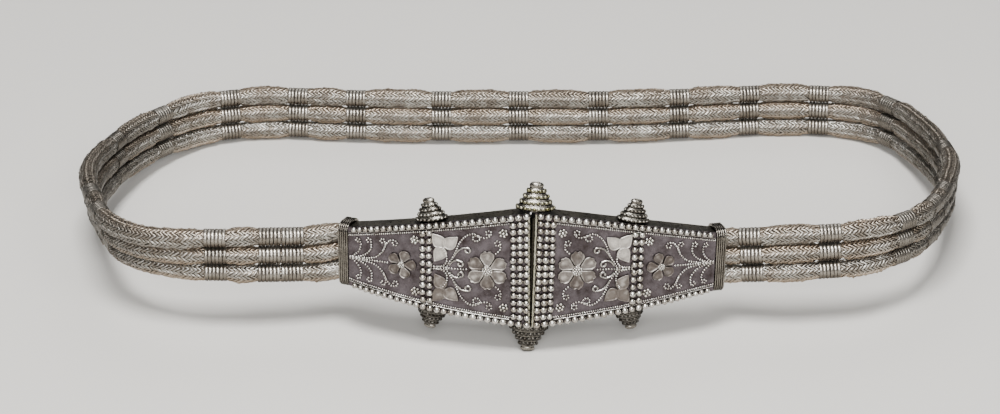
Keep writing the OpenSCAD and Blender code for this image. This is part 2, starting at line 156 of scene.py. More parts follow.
# Woven strands.
# Three cords knitted of fine silver wire in a herringbone, laid side by side round the waist.
# Each course of loops is a ring of slanting legs; the collars pinch the cords, which swell
# between them, and both ends of each cord go into the necks of the clasp.

# The band's middle line from the left neck round the back to the right one
route_points = [
    (-60, -64.9, -0.8), (-67, -66.6, -0.9), (-78, -68.2, -0.5), (-92, -69.6, 0),
    (-106, -68.6, 0), (-119.5, -63, 0), (-129, -52, 0), (-134, -38, 0), (-138, -24, 0),
    (-140.5, -11, 0), (-140, 2, 0), (-137.5, 14, 0), (-134, 26, 0), (-129, 38, 0),
    (-121, 51, 0), (-108, 63.5, 0), (-86, 69, 0), (-60, 66.5, 0), (-30, 65, 0), (0, 65, 0),
    (30, 65, 0), (58, 67.5, 0), (86, 71.5, 0), (108, 71, 0), (123, 65.5, 0), (132.5, 54, 0),
    (138, 39, 0), (141.5, 25, 0), (143.5, 11, 0), (143.5, -2, 0), (141, -15, 0),
    (137, -29, 0), (131, -43, 0), (121.5, -55.5, 0), (106, -64, -0.2),
    (90, -66.5, -0.4), (78, -66.6, -1), (70, -65.1, -1.8),
]
# The middle of each collar, along the band
collar_places = [20, 27.25, 44, 91, 107.5, 158.5, 189, 219, 243.5, 264, 294, 321,
                 349, 377.5, 402.5, 427.5, 456, 504.5, 545.5, 558, 576, 602.5, 627]
# How far the band's upper edge leans out of the loop: distance along the route, and degrees
band_leans = [(0, 0), (33, 0), (44, 9), (54, 19), (64, 26), (76, 25), (95, 19), (130, 8), (170, 0),
              (495, 0), (535, 8), (570, 11), (600, 0), (700, 0)]
# A strand's height and depth between collars, and its diameter inside one
strand_h = 6.2
strand_t = 5.6
squeeze_d = 4.9
# From strand to strand, between collars and inside them
open_pitch = 6.3
collar_pitch = 6.1
collar_l = 7.0
# The lean is held through each collar
collar_ends = [(middle + side * collar_l / 2, np.interp(middle, *zip(*band_leans)))
               for middle in collar_places for side in (-1, 1)]
open_leans = [(s, lean) for s, lean in band_leans
              if min(abs(s - middle) for middle in collar_places) > collar_l / 2]
lean_table = sorted(open_leans + collar_ends)

# The two clasp halves and the pin line, in the flat loop: x outwards, y back, z up in each.
# The right half turns back and droops, and the pin leans, as the clasp has settled with wear.
clasp_middle = Matrix.Translation((4.5, -pin_forward, 0))
left_turn = math.radians(0.95)
right_turn = math.radians(5.65)
right_droop = math.radians(1.9)
pin_lean = math.radians(3)
half_place = {
    "left": clasp_middle @ Matrix.Rotation(left_turn, 4, "Z") @ Matrix.Scale(-1, 4, (1, 0, 0)),
    "right": (clasp_middle @ Matrix.Rotation(right_turn, 4, "Z")
              @ Matrix.Rotation(right_droop, 4, "Y")),
}
pin_place = clasp_middle @ Matrix.Rotation(pin_lean, 4, "Y")
# How far each half bows round the waist from its slot to its binding, in degrees
half_bow = {"left": 26.0, "right": 13.2}
bow_l = 58.0


def bowed(half, points):
    """Bends points laid out on a flat half round the waist."""
    full = math.radians(half_bow[half])
    radius = bow_l / full
    u, y, z = np.asarray(points, float).T
    turn = np.minimum(u / bow_l, 1) * full
    beyond = np.maximum(u - bow_l, 0)
    return np.stack([(radius - y) * np.sin(turn) + beyond * np.cos(turn),
                     radius - (radius - y) * np.cos(turn) + beyond * np.sin(turn), z], 1)


def settle(mesh, place, half=None):
    """Moves a mesh from its own millimetres to its place, through a half's bow if it is on one."""
    mesh.transform(place)
    turned_over = place.determinant() < 0
    if half:
        spots = np.empty(len(mesh.vertices) * 3)
        mesh.vertices.foreach_get("co", spots)
        mesh.vertices.foreach_set("co", bowed(half, spots.reshape(-1, 3)).ravel())
        mesh.transform(half_place[half])
        turned_over ^= half_place[half].determinant() < 0
    mesh.transform(to_standing)
    if turned_over:
        mesh.flip_normals()


# In a half: how far back the strands lie, and two points of their line through its neck
strand_line = 1.075
neck_ends = [58.5, 62.8]


def neck_points(half):
    """The points of the strands' line in a neck, in the flat loop."""
    return [np.array(half_place[half] @ Vector(p))
            for p in bowed(half, [(u, strand_line, 0) for u in neck_ends])]


route = (neck_points("left") + [np.array(p, float) for p in route_points]
         + neck_points("right")[::-1])


def flowing(points, steps):
    """A smooth curve through the points."""
    ends = [2 * points[0] - points[1]] + list(points) + [2 * points[-1] - points[-2]]
    curve = []
    for a, b, c, d in zip(ends, ends[1:], ends[2:], ends[3:]):
        for t in np.arange(steps) / steps:
            curve.append(0.5 * (2 * b + (c - a) * t + (2 * a - 5 * b + 4 * c - d) * t ** 2
                                + (3 * b - a - 3 * c + d) * t ** 3))
    return np.array(curve + [points[-1]])


def distance_along(curve):
    """How far each point of a curve is from its start, along it."""
    steps = np.linalg.norm(np.diff(curve, axis=0), axis=1)
    return np.concatenate([[0], np.cumsum(steps)])


band = flowing(route, 8)
band_run = distance_along(band)
band_l = band_run[-1]


def on_band(s):
    """The points of the band's middle line at each distance along it."""
    return np.array([np.interp(s, band_run, band[:, k]) for k in range(3)]).T


def band_axes(s):
    """Along the band, out of the loop, and up its height, at each distance along it."""
    ahead = on_band(np.minimum(s + 0.5, band_l)) - on_band(np.maximum(s - 0.5, 0))
    ahead /= np.linalg.norm(ahead, axis=1)[:, None]
    side = np.stack([-ahead[:, 1], ahead[:, 0], 0 * s], 1)
    side /= np.linalg.norm(side, axis=1)[:, None]
    up = np.cross(ahead, side)
    lean = np.radians(np.interp(s, *zip(*lean_table)))[:, None]
    return ahead, side * np.cos(lean) - up * np.sin(lean), up * np.cos(lean) + side * np.sin(lean)


# How far a strand takes to swell past a collar, and how far from a neck that starts
swell_run = 6.0
neck_run = 4.0


def swelling(s):
    """0 where a strand is pinched, 1 where it is at its full size."""
    clear = np.minimum(s - neck_run, band_l - neck_run - s)
    for middle in collar_places:
        clear = np.minimum(clear, np.abs(s - middle) - collar_l / 2)
    share = np.clip(clear / swell_run, 0, 1)
    return np.sin(share * math.pi / 2)


def growing_tree(name, sizes):
    """A node tree that takes geometry, a metal and the named sizes."""
    tree = bpy.data.node_groups.new(name, "GeometryNodeTree")
    sockets = tree.interface
    sockets.new_socket("Geometry", in_out="OUTPUT", socket_type="NodeSocketGeometry")
    sockets.new_socket("Geometry", in_out="INPUT", socket_type="NodeSocketGeometry")
    sockets.new_socket("Metal", in_out="INPUT", socket_type="NodeSocketMaterial")
    for label, value in sizes.items():
        kind = "NodeSocketInt" if isinstance(value, int) else "NodeSocketFloat"
        sockets.new_socket(label, in_out="INPUT", socket_type=kind).default_value = value
    return tree, tree.nodes.new("NodeGroupInput").outputs


def finish_tree(tree, given, geometry):
    """Ends a tree: its instances are realized, smoothed and given their metal."""
    whole = add(tree, "GeometryNodeRealizeInstances", inputs={0: geometry}).outputs[0]
    smooth = add(tree, "GeometryNodeSetShadeSmooth", inputs={0: whole}).outputs[0]
    metal = add(tree, "GeometryNodeSetMaterial", inputs={0: smooth, "Material": given["Metal"]})
    tree.links.new(metal.outputs[0], tree.nodes.new("NodeGroupOutput").inputs[0])


def grow(name, seed_mesh, tree, metal, place, half=None, **sizes):
    """Runs a tree on a mesh in millimetres, and makes the result a plain piece in its place."""
    holder = link(name + "_seed", seed_mesh)
    maker = holder.modifiers.new("maker", "NODES")
    maker.node_group = tree
    for item in tree.interface.items_tree:
        if item.name == "Metal":
            maker[item.identifier] = metal
        elif item.name in sizes:
            maker[item.identifier] = sizes[item.name]
    depsgraph = bpy.context.evaluated_depsgraph_get()
    mesh = bpy.data.meshes.new_from_object(holder.evaluated_get(depsgraph), depsgraph=depsgraph)
    bpy.data.objects.remove(holder)
    settle(mesh, place, half)
    return link(name, mesh)


def line_mesh(name, lines, closed=False, **columns):
    """A mesh of loose lines, each a list of points, with one float attribute per named column."""
    points = np.concatenate(lines)
    edges = []
    start = 0
    for line in lines:
        edges += [(start + k, start + k + 1) for k in range(len(line) - 1)]
        if closed:
            edges.append((start + len(line) - 1, start))
        start += len(line)
    mesh = bpy.data.meshes.new(name)
    mesh.from_pydata([tuple(p) for p in points], edges, [])
    for label, values in columns.items():
        column = mesh.attributes.new(label, "FLOAT", "POINT")
        column.data.foreach_set("value", np.array(values, np.float32))
    return mesh


# The real loops are finer than the picture shows, so they are drawn about twice as coarse: a
# course each 1.4 mm and seven herringbone columns round a strand. One course is drawn round a
# circle of radius 1, then widened to the strand's half width and half height, and stretched
# along it by the course height. Leg and wire sizes are shares of those; the pitch, the height,
# the core's gap and step, and the unevenness are in mm.
weave, given = growing_tree("herringbone weave", {
    "Course Pitch": 1.4, "Columns": 7, "Leg Rise": 0.38, "Leg Sink": 0.06, "Course Height": 2.95,
    "Wire Thickness": 0.2, "Wire Width": 0.235, "Core Gap": 0.38, "Core Step": 3.3,
    "Core Sides": 12, "Unevenness": 1.1, "Seed": 3, "Groove Above": 1.0, "Groove Below": 1.0})
# Four points of the ring make one leg up and one leg down; the legs' ends sink into the cord
place_number = add(weave, "GeometryNodeInputIndex").outputs[0]
quarter = add(weave, "ShaderNodeMath", {"operation": "MODULO"},
              {0: place_number, 1: 4.0}).outputs[0]
from_two = add(weave, "ShaderNodeMath", {"operation": "SUBTRACT"}, {0: quarter, 1: 2.0}).outputs[0]
fold = add(weave, "ShaderNodeMath", {"operation": "ABSOLUTE"}, {0: from_two}).outputs[0]
zigzag = add(weave, "ShaderNodeMath", {"operation": "SUBTRACT"}, {0: 1.0, 1: fold}).outputs[0]
dip = add(weave, "ShaderNodeMath", {"operation": "ABSOLUTE"}, {0: zigzag}).outputs[0]
sunk = add(weave, "ShaderNodeMath", {"operation": "MULTIPLY"},
           {0: dip, 1: given["Leg Sink"]}).outputs[0]
keep = add(weave, "ShaderNodeMath", {"operation": "SUBTRACT"}, {0: 1.0, 1: sunk}).outputs[0]
rise = add(weave, "ShaderNodeMath", {"operation": "MULTIPLY"},
           {0: zigzag, 1: given["Leg Rise"]}).outputs[0]
ring_count = add(weave, "ShaderNodeMath", {"operation": "MULTIPLY"},
                 {0: given["Columns"], 1: 4.0}).outputs[0]
ring = add(weave, "GeometryNodeCurvePrimitiveCircle",
           inputs={"Resolution": ring_count, "Radius": 1.0})
spot = add(weave, "GeometryNodeInputPosition").outputs[0]
pulled_in = add(weave, "ShaderNodeVectorMath", {"operation": "SCALE"},
                {0: spot, "Scale": keep}).outputs[0]
raised = add(weave, "ShaderNodeCombineXYZ", inputs={2: rise}).outputs[0]
leg_path = add(weave, "GeometryNodeSetPosition",
               inputs={0: ring.outputs[0], "Position": pulled_in, "Offset": raised}).outputs[0]
leg_line = add(weave, "GeometryNodeSetCurveNormal", {"mode": "Z_UP"}, {0: leg_path}).outputs[0]
wire_round = add(weave, "GeometryNodeCurvePrimitiveCircle", inputs={"Resolution": 6, "Radius": 0.5})
wire_size = add(weave, "ShaderNodeCombineXYZ",
                inputs={0: given["Wire Thickness"], 1: given["Wire Width"]}).outputs[0]
wire_shape = add(weave, "GeometryNodeTransform",
                 inputs={0: wire_round.outputs[0], "Scale": wire_size}).outputs[0]
course = add(weave, "GeometryNodeCurveToMesh", inputs={0: leg_line, 1: wire_shape}).outputs[0]
# Crown is 1 on the wire's rubbed outer side, and 0 down between the legs
flat_spot = add(weave, "ShaderNodeVectorMath", {"operation": "MULTIPLY"},
                {0: add(weave, "GeometryNodeInputPosition").outputs[0], 1: (1, 1, 0)}).outputs[0]
reach = add(weave, "ShaderNodeVectorMath", {"operation": "LENGTH"}, {0: flat_spot}).outputs["Value"]
crown = add(weave, "ShaderNodeMapRange",
            inputs={"Value": reach, "From Min": 0.84, "From Max": 1.03}).outputs[0]
course = add(weave, "GeometryNodeStoreNamedAttribute",
             inputs={0: course, "Name": "crown", "Value": crown}).outputs[0]
# Groove is 1 where a strand's top or bottom lies against its neighbour, and dust stays
height_in_ring = add(weave, "ShaderNodeSeparateXYZ", inputs={0: flat_spot}).outputs[1]
above = add(weave, "ShaderNodeMath", {"operation": "MULTIPLY"},
            {0: height_in_ring, 1: given["Groove Above"]}).outputs[0]
below = add(weave, "ShaderNodeMath", {"operation": "MULTIPLY"},
            {0: height_in_ring, 1: given["Groove Below"]}).outputs[0]
below = add(weave, "ShaderNodeMath", {"operation": "MULTIPLY"}, {0: below, 1: -1.0}).outputs[0]
groove = add(weave, "ShaderNodeMath", {"operation": "MAXIMUM"}, {0: above, 1: below}).outputs[0]
groove = add(weave, "ShaderNodeMapRange",
             inputs={"Value": groove, "From Min": 0.25, "From Max": 0.85}).outputs[0]
course = add(weave, "GeometryNodeStoreNamedAttribute",
             inputs={0: course, "Name": "groove", "Value": groove}).outputs[0]
# The courses stand across the strand's line, each a little larger or smaller than the last
route_line = add(weave, "GeometryNodeMeshToCurve", inputs={0: given["Geometry"]}).outputs[0]
even_line = add(weave, "GeometryNodeResampleCurve", {"mode": "LENGTH"},
                {0: route_line, "Length": given["Course Pitch"]}).outputs[0]
upright_line = add(weave, "GeometryNodeSetCurveNormal", {"mode": "Z_UP"},
                   {0: even_line}).outputs[0]
courses_at = add(weave, "GeometryNodeCurveToPoints", {"mode": "EVALUATED"}, {0: upright_line})
half_wide = add(weave, "GeometryNodeInputNamedAttribute", inputs={"Name": "half_wide"}).outputs[0]
half_high = add(weave, "GeometryNodeInputNamedAttribute", inputs={"Name": "half_high"}).outputs[0]
shown = add(weave, "GeometryNodeInputNamedAttribute", inputs={"Name": "shown"}).outputs[0]
is_shown = add(weave, "ShaderNodeMath", {"operation": "GREATER_THAN"},
               {0: shown, 1: 0.5}).outputs[0]
course_size = add(weave, "ShaderNodeCombineXYZ",
                  inputs={0: half_wide, 1: half_high, 2: given["Course Height"]}).outputs[0]
uneven = add(weave, "FunctionNodeRandomValue", {"data_type": "FLOAT_VECTOR"},
             {0: (0.975, 0.975, 0.93), 1: (1.02, 1.02, 1.07), "Seed": given["Seed"]}).outputs[0]
uneven_size = add(weave, "ShaderNodeVectorMath", {"operation": "MULTIPLY"},
                  {0: course_size, 1: uneven}).outputs[0]
courses = add(weave, "GeometryNodeInstanceOnPoints",
              inputs={0: courses_at.outputs[0], "Selection": is_shown, "Instance": course,
                      "Rotation": courses_at.outputs["Rotation"], "Scale": uneven_size}).outputs[0]
turn_tone = add(weave, "FunctionNodeRandomValue", {"data_type": "FLOAT"},
                {"Seed": given["Seed"]}).outputs[1]
courses = add(weave, "GeometryNodeStoreNamedAttribute", {"domain": "INSTANCE"},
              {0: courses, "Name": "tone", "Value": turn_tone}).outputs[0]
# A solid core behind the loops, so that no light comes through the cord
least_radius = add(weave, "ShaderNodeMath", {"operation": "MINIMUM"},
                   {0: half_wide, 1: half_high}).outputs[0]
core_radius = add(weave, "ShaderNodeMath", {"operation": "SUBTRACT"},
                  {0: least_radius, 1: given["Core Gap"]}).outputs[0]
core_round = add(weave, "GeometryNodeCurvePrimitiveCircle",
                 inputs={"Resolution": given["Core Sides"], "Radius": 1.0})
sparse_line = add(weave, "GeometryNodeResampleCurve", {"mode": "LENGTH"},
                  {0: route_line, "Length": given["Core Step"]}).outputs[0]
core = add(weave, "GeometryNodeCurveToMesh",
           inputs={0: sparse_line, 1: core_round.outputs[0], "Scale": core_radius,
                   "Fill Caps": True}).outputs[0]
loose_courses = add(weave, "GeometryNodeRealizeInstances", inputs={0: courses}).outputs[0]
# Pulls the loops about a little, as in knitting done by hand
pull = add(weave, "ShaderNodeTexNoise", inputs={"Scale": 0.55, "Detail": 1.0}).outputs[1]
pull = add(weave, "ShaderNodeVectorMath", {"operation": "SUBTRACT"},
           {0: pull, 1: (0.5, 0.5, 0.5)}).outputs[0]
pull = add(weave, "ShaderNodeVectorMath", {"operation": "SCALE"},
           {0: pull, "Scale": given["Unevenness"]}).outputs[0]
pulled = add(weave, "GeometryNodeSetPosition", inputs={0: loose_courses, "Offset": pull}).outputs[0]
strand_whole = add(weave, "GeometryNodeJoinGeometry")
weave.links.new(pulled, strand_whole.inputs[0])
weave.links.new(core, strand_whole.inputs[0])
finish_tree(weave, given, strand_whole.outputs[0])

# The two ends of the loop, from and to these distances in mm off its middle, are painted greyer as
# shade
ends_from, ends_full = 110, 138
ends_shade_grey = "#4b4741"


def metal_finish(name, bright, dull, grime_and_shade, patch=10.0, shine=0.32, crowned=True, metallic=1.0,
                 grain=0.5, relief=0.05, dust=None, underside_shade=0.6, dirt_and_shade_reach=None, ends=None):
    """Old silver, bright and dull in patches, with pits; patch, grain, relief and dirt are in mm.

    The dark colour lies where crown is low if the piece is crowned, as tarnish in the hollows.
    It is also painted on the undersides as shade, by the underside share, and within the given
    reach of whatever stands on the metal, as dirt and painted shade. Dust is the colour of what
    lies in the grooves, and ends is the share of painted grey shade that the ends of the loop get.
    """
    finish = bpy.data.materials.new(name)
    finish.use_nodes = True
    tree = finish.node_tree
    skin = tree.nodes["Principled BSDF"]
    spot = add(tree, "ShaderNodeTexCoord").outputs["Object"]
    patches = add(tree, "ShaderNodeTexNoise", inputs={"Vector": spot, "Scale": 1 / (patch * mm),
                                                      "Detail": 4.0, "Roughness": 0.6}).outputs[0]
    tone = add(tree, "ShaderNodeAttribute", {"attribute_name": "tone"}).outputs["Fac"]
    patches = add(tree, "ShaderNodeMath", {"operation": "MULTIPLY_ADD"},
                  {0: tone, 1: 0.16, 2: patches}).outputs[0]
    share = add(tree, "ShaderNodeMapRange",
                inputs={"Value": patches, "From Min": 0.35, "From Max": 0.72}).outputs[0]
    colour = add(tree, "ShaderNodeMix", {"data_type": "RGBA"},
                 {0: share, 6: linear(bright), 7: linear(dull)}).outputs[2]
    pits = add(tree, "ShaderNodeTexNoise", inputs={"Vector": spot, "Scale": 1 / (grain * mm),
                                                   "Detail": 3.0}).outputs[0]
    if crowned:
        crown_at = add(tree, "ShaderNodeAttribute", {"attribute_name": "crown"}).outputs["Fac"]
        worn = add(tree, "ShaderNodeMath", {"operation": "MULTIPLY_ADD"},
                   {0: pits, 1: 0.5, 2: crown_at}).outputs[0]
        clean = add(tree, "ShaderNodeMapRange",
                    inputs={"Value": worn, "From Min": 0.35, "From Max": 0.95}).outputs[0]
        colour = add(tree, "ShaderNodeMix", {"data_type": "RGBA"},
                     {0: clean, 6: linear(grime_and_shade), 7: colour}).outputs[2]
    # Painted shade: faces that turn downwards go over to the dark colour, up to the underside share
    facing_up = add(tree, "ShaderNodeSeparateXYZ",
                    inputs={0: add(tree, "ShaderNodeTexCoord").outputs["Normal"]}).outputs[2]
    painted_underside_share = add(tree, "ShaderNodeMapRange",
                   inputs={"Value": facing_up, "From Min": -0.4, "From Max": 0.4,
                           "To Min": underside_shade, "To Max": 0.0}).outputs[0]
    colour = add(tree, "ShaderNodeMix", {"data_type": "RGBA"},
                 {0: painted_underside_share, 6: colour, 7: linear(grime_and_shade)}).outputs[2]
    if dust:
        dusty = add(tree, "ShaderNodeAttribute", {"attribute_name": "groove"}).outputs["Fac"]
        colour = add(tree, "ShaderNodeMix", {"data_type": "RGBA"},
                     {0: dusty, 6: colour, 7: linear(dust)}).outputs[2]
    # Dirt and painted shade: within the reach of whatever stands close, the colour goes over to the
    # dark colour
    if dirt_and_shade_reach:
        openness = add(tree, "ShaderNodeAmbientOcclusion", {"samples": 8},
                       {"Distance": dirt_and_shade_reach * mm}).outputs["AO"]
        # The share of the colour that is clear of this dirt and painted shade
        rubbed = add(tree, "ShaderNodeMapRange",
                     inputs={"Value": openness, "From Min": 0.25, "From Max": 0.9}).outputs[0]
        colour = add(tree, "ShaderNodeMix", {"data_type": "RGBA"},
                     {0: rubbed, 6: linear(grime_and_shade), 7: colour}).outputs[2]
    # Painted shade: towards the ends of the loop the colour goes over to grey, by the share ends
    if ends:
        across = add(tree, "ShaderNodeSeparateXYZ", inputs={0: spot}).outputs[0]
        off_middle = add(tree, "ShaderNodeMath", {"operation": "ABSOLUTE"}, {0: across}).outputs[0]
        ends_shaded = add(tree, "ShaderNodeMapRange",
                     inputs={"Value": off_middle, "From Min": ends_from * mm,
                             "From Max": ends_full * mm, "To Max": ends}).outputs[0]
        colour = add(tree, "ShaderNodeMix", {"data_type": "RGBA"},
                     {0: ends_shaded, 6: colour, 7: linear(ends_shade_grey)}).outputs[2]
    gloss = add(tree, "ShaderNodeMapRange",
                inputs={"Value": pits, "From Min": 0.3, "From Max": 0.7,
                        "To Min": shine - 0.06, "To Max": shine + 0.12}).outputs[0]
    tree.links.new(colour, skin.inputs["Base Color"])
    tree.links.new(gloss, skin.inputs["Roughness"])
    skin.inputs["Metallic"].default_value = metallic
    bump = add(tree, "ShaderNodeBump",
               inputs={"Strength": 0.6, "Distance": relief * mm, "Height": pits})
    tree.links.new(bump.outputs[0], skin.inputs["Normal"])
    return finish


# Knitted fine silver wire: the rubbed legs glitter, and warm grime and tan dust between them
# soften it, so the cord looks like dull pale cloth from further off. The strands' undersides and
# the ends of the loop are painted darker as shade.
woven_silver = metal_finish("knitted silver wire, tan dust in the grooves",
                            "#d0cdc5", "#8b8379", "#857a6d", patch=5.0, shine=0.3, metallic=0.8,
                            dust="#aa9986", underside_shade=0.3, ends=0.8)
# How much of the tan dust each strand has, above and below its middle
strand_grooves = {"strand_top": (0.0, 0.7), "strand_middle": (1.2, 1.0),
                  "strand_bottom": (1.25, 0.0)}
strand_levels = {"strand_top": 1, "strand_middle": 0, "strand_bottom": -1}
strand_step = 1.1
# How far the loops run on under a collar's edge
tucked_in = 1.5
unmoved = Matrix.Identity(4)
for strand, level in strand_levels.items():
    s = np.arange(0, band_l, strand_step)
    full = swelling(s)
    ahead, side, up = band_axes(s)
    rise_here = level * (collar_pitch + full * (open_pitch - collar_pitch))
    path = on_band(s) + up * rise_here[:, None]
    nearest = np.min([np.abs(s - middle) for middle in collar_places], axis=0)
    under_collar = nearest < collar_l / 2 - tucked_in
    seed = line_mesh(strand + "_line", [path],
                     half_wide=(squeeze_d + full * (strand_t - squeeze_d)) / 2,
                     half_high=(squeeze_d + full * (strand_h - squeeze_d)) / 2,
                     shown=~under_collar)
    woven = grow(strand + "_weave", seed, weave, woven_silver, unmoved,
                 **{"Seed": level + 5, "Groove Above": strand_grooves[strand][0],
                    "Groove Below": strand_grooves[strand][1]})
    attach(woven, "root")
    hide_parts(strand)

# Collars.
# Rows of three rings of round silver wire, six turns to a ring, wound tightly round the strands
# and soldered to each other where they touch, which holds the three strands side by side.
drawn_wire, given = growing_tree("drawn wire", {
    "Wire Sides": 8, "Wire Thickness": 0.5, "Wire Width": 1.0})
wire_line = add(drawn_wire, "GeometryNodeMeshToCurve", inputs={0: given["Geometry"]}).outputs[0]
wire_line = add(drawn_wire, "GeometryNodeSetCurveNormal", {"mode": "Z_UP"},
                {0: wire_line}).outputs[0]
section = add(drawn_wire, "GeometryNodeCurvePrimitiveCircle",
              inputs={"Resolution": given["Wire Sides"], "Radius": 0.5}).outputs[0]
section_size = add(drawn_wire, "ShaderNodeCombineXYZ",
                   inputs={0: given["Wire Thickness"], 1: given["Wire Width"]}).outputs[0]
section = add(drawn_wire, "GeometryNodeTransform",
              inputs={0: section, "Scale": section_size}).outputs[0]
# Crown is 1 on the wire's outer side, and 0 down between the turns
section_spot = add(drawn_wire, "GeometryNodeInputPosition").outputs[0]
section_out = add(drawn_wire, "ShaderNodeSeparateXYZ", inputs={0: section_spot}).outputs[0]
section_share = add(drawn_wire, "ShaderNodeMath", {"operation": "DIVIDE"},
                    {0: section_out, 1: given["Wire Thickness"]}).outputs[0]
section_crown = add(drawn_wire, "ShaderNodeMapRange",
                    inputs={"Value": section_share, "From Min": -0.6, "From Max": 0.05}).outputs[0]
section = add(drawn_wire, "GeometryNodeStoreNamedAttribute",
              inputs={0: section, "Name": "crown", "Value": section_crown}).outputs[0]
drawn = add(drawn_wire, "GeometryNodeCurveToMesh",
            inputs={0: wire_line, 1: section, "Fill Caps": True}).outputs[0]
finish_tree(drawn_wire, given, drawn)

# Drawn silver wire: a long highlight runs across the turns, worn bright on their outer sides,
# over brown grime between them. The rings' undersides are painted dark brown as shade, and the
# collars at the ends of the loop are painted greyer as shade.
collar_wire = metal_finish("drawn silver wire, worn bright", "#bdb7ad", "#7c7469", "#4c4339",
                           patch=6.0, shine=0.28, metallic=0.9, underside_shade=0.95, ends=0.8)
# A ring's turns of wire, the points round each turn, and the ring's outer radius
collar_turns = 6
turn_points = 28
collar_outer = 3.0
# The wire's thickness from inside to outside, and its width along the ring
collar_wire_thick = 0.45
collar_wire_wide = 1.16
rng = np.random.default_rng(11)
for number, middle in enumerate(collar_places, 1):
    ends = on_band(np.array([middle - collar_l / 2, middle + collar_l / 2]))
    ahead = Vector(ends[1] - ends[0]).normalized()
    level_side = Vector((-ahead.y, ahead.x, 0)).normalized()
    lean = math.radians(np.interp(middle, *zip(*band_leans)))
    side = level_side * math.cos(lean) - ahead.cross(level_side) * math.sin(lean)
    up = ahead.cross(side)
    # The rings' axis is z in their own frame, and x is up the row
    frame_there = Matrix((up, side, ahead)).transposed().to_4x4()
    frame_there.translation = Vector((ends[0] + ends[1]) / 2)
    turns = []
    for level in (-1, 0, 1):
        for turn in range(collar_turns):
            # Wound by hand: each turn differs a little in size, slant and place
            angle = np.linspace(0, 2 * math.pi, turn_points, endpoint=False)
            radius = collar_outer - collar_wire_thick / 2 + rng.uniform(-0.04, 0.01)
            slant = rng.uniform(-0.05, 0.05, 2)
            at = (turn + 0.5) * collar_l / collar_turns - collar_l / 2 + rng.uniform(-0.02, 0.02)
            turns.append(np.stack([level * collar_pitch + radius * np.cos(angle),
                                   radius * np.sin(angle),
                                   at + slant[0] * np.cos(angle) + slant[1] * np.sin(angle)], 1))
    seed = line_mesh("collar_lines", turns, closed=True)
    collar = grow("collar_%02d_wire" % number, seed, drawn_wire, collar_wire, frame_there,
                  **{"Wire Thickness": collar_wire_thick, "Wire Width": collar_wire_wide})
    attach(collar, "root")
    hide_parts("collar_%02d" % number)

# Bindings.
# Five rounds of flattened silver wire, drawn tight round each neck and soldered turn to turn,
# which close the mouth where the strands go in.
binding_wires = 5
# Where the binding starts along a half, and the neck's half depth, half height and corner
binding_from = 58.15
binding_pitch = 0.7
binding_half_deep = 3.9
binding_half_high = 10.35
binding_corner = 2.7
# Flattened silver wire: dull grey-brown bands with a thin bright edge and black seams between,
# from tarnish, dirt and painted shade; the undersides are painted darker as shade too
binding_metal = metal_finish("flattened silver wire, grey-brown tarnish", "#9c968c", "#625c54",
                             "#1f1c19", patch=5.0, shine=0.22, dirt_and_shade_reach=0.5)
# A neck's own frame: x up, y forwards, z outwards along the half
neck = Matrix(((0, 0, 1, 0), (0, -1, 0, strand_line), (1, 0, 0, 0), (0, 0, 0, 1)))


def rounded_ring(half_x, half_y, radius, steps=6):
    """Points round a rectangle with rounded corners."""
    angle = np.radians(np.linspace(0, 90, steps + 1))
    corner = np.stack([half_x - radius + radius * np.cos(angle),
                       half_y - radius + radius * np.sin(angle)], 1)
    flip = corner[::-1]
    return np.concatenate([corner, flip * (-1, 1), corner * (-1, -1), flip * (1, -1)])


for half in ("left", "right"):
    rounds = []
    for wire in range(binding_wires):
        ring_points = rounded_ring(binding_half_high + rng.uniform(-0.05, 0.03),
                                   binding_half_deep + rng.uniform(-0.05, 0.03), binding_corner)
        # The rounds spread a little at the top and bottom, and are nipped together below the middle
        spread = 0.93 + 0.07 * np.abs(ring_points[:, 0] + 2) / binding_half_high
        off_middle = (wire + 0.5 - binding_wires / 2) * binding_pitch
        along = binding_from + binding_wires * binding_pitch / 2 + off_middle * spread
        rounds.append(np.column_stack([ring_points, along]))
    seed = line_mesh("binding_lines", rounds, closed=True)
    binding = grow(half + "_binding_wire", seed, drawn_wire, binding_metal, neck, half,
                   **{"Wire Thickness": 1.0, "Wire Width": 0.66})
    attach(binding, "root")
    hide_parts(half + "_binding")

# Cases.
# Each half is a shallow box of sheet silver with a round-cornered neck, bent up and soldered;
# its plain walls have gone dark olive with age and are worn along their edges.

# Bent silver sheet: broad, cloudy, nearly black reflections, darkest beside what stands on it from
# dirt and painted shade, and painted darker on its undersides as shade
case_metal = metal_finish("bent silver sheet, dark olive tarnish", "#6f695c", "#3d3a32", "#26241f",
                          patch=9.0, shine=0.3, crowned=False, grain=0.8, dirt_and_shade_reach=2.5)
for half in ("left", "right"):
    case = bpy.data.objects[half + "_case"]
    for holder in case.material_slots:
        holder.material = case_metal

# Faces.
# Each half carries a plate of sheet silver whose ground has tarnished to a purple brown. Grains,
# beaded wires, cut petals and leaves are soldered on it: rows along the edges, and flowers between.

# Places on a face are along the half from the slot, and up from its middle, both in mm.
face_l = 57.9
sheet_t = 0.8
face_front = 3.125
slot_edge = {"left": 0.65, "right": 0.04}
# A half's half height at the slot, at the middle of its length and at the neck
slot_high, middle_high, neck_high = 19.0, 14.8, 9.7
# The border grains, their size and pitch at the slot, and how much less both are at the binding
border_in = 0.75
border_from = 1.7
border_grain_d, border_grain_less = 2.28, 0.5
border_pitch, border_pitch_less = 2.42, 0.52
slot_columns = [1.7, 3.7, 5.7]
middle_columns = [31.4, 33.5]
column_grain_d = 2.08
column_pitch = 2.28
rosette_at = (13.6, 0)
flower_at = (40.2, 0)
leaf_at = (26.8, 6.9)
cluster_at = [(8.7, 12.4), (36.0, 8.6)]
cluster_r = 1.05
